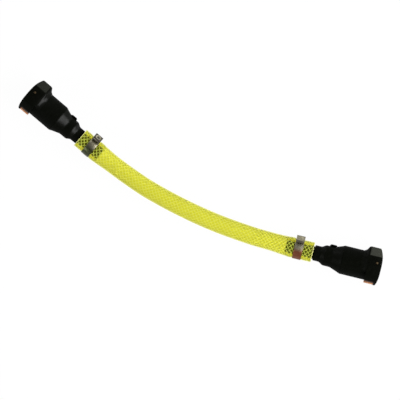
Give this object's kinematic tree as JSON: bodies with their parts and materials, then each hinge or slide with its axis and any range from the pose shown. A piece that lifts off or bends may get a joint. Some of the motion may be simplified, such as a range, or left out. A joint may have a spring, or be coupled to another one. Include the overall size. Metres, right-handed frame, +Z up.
{
  "type": "extension hose",
  "caption": "Short extension hose of yellow braided tubing, with a push-button quick coupling clamped on each end.",
  "frame": {"origin": "middle of the couplings' footprint, on the surface that the assembly lies on", "axes": "+X from the left coupling's mouth to the right one's, +Y towards the boxes on the couplings, +Z up"},
  "size_m": [0.4172, 0.064, 0.0337],
  "materials": {
    "black_plastic": "fine moulded texture, satin",
    "orange_plastic": "satin",
    "valve_plastic": "satin",
    "seal_rubber": "matte",
    "spring_steel": "drawn wire",
    "clamp_steel": "rolled strip",
    "pin_brass": "turned",
    "hose_pvc": "clear yellow with a pale braid inside"
  },
  "bodies": {
    "hose_assembly": {"left_coupling_body": "black_plastic", "left_latch_spring": "spring_steel", "left_latch_pin_top": "pin_brass", "left_latch_pin_bottom": "pin_brass", "left_socket_seal": "seal_rubber", "left_valve_spring": "spring_steel", "left_hose_tail": "black_plastic", "left_tail_seal": "seal_rubber", "left_clamp_band": "clamp_steel", "right_coupling_body": "black_plastic", "right_latch_spring": "spring_steel", "right_latch_pin_top": "pin_brass", "right_latch_pin_bottom": "pin_brass", "right_socket_seal": "seal_rubber", "right_valve_spring": "spring_steel", "right_hose_tail": "black_plastic", "right_tail_seal": "seal_rubber", "right_clamp_band": "clamp_steel", "hose": "hose_pvc"},
    "left_button": {"left_latch_slide": "orange_plastic"},
    "left_valve": {"left_valve_poppet": "valve_plastic", "left_valve_seal": "seal_rubber"},
    "right_button": {"right_latch_slide": "orange_plastic"},
    "right_valve": {"right_valve_poppet": "valve_plastic", "right_valve_seal": "seal_rubber"}
  },
  "joints": [
    {"name": "left_button_press", "type": "slide", "parent": "hose_assembly", "child": "left_button", "axis": [0.2419, 0.9703, 0], "range_m": [0, 0.0026], "stiffness_N_per_m": 300, "springref_m": -0.006, "deforming": ["left_latch_spring"]},
    {"name": "left_valve_push", "type": "slide", "parent": "hose_assembly", "child": "left_valve", "axis": [0.9687, -0.2415, -0.0567], "range_m": [0, 0.004], "stiffness_N_per_m": 150, "springref_m": -0.006, "deforming": ["left_valve_spring"]},
    {"name": "right_button_press", "type": "slide", "parent": "hose_assembly", "child": "right_button", "axis": [-0.2181, 0.9759, 0], "range_m": [0, 0.0026], "stiffness_N_per_m": 300, "springref_m": -0.006, "deforming": ["right_latch_spring"]},
    {"name": "right_valve_push", "type": "slide", "parent": "hose_assembly", "child": "right_valve", "axis": [-0.9743, -0.2178, -0.0567], "range_m": [0, 0.004], "stiffness_N_per_m": 150, "springref_m": -0.006, "deforming": ["right_valve_spring"]}
  ]
}
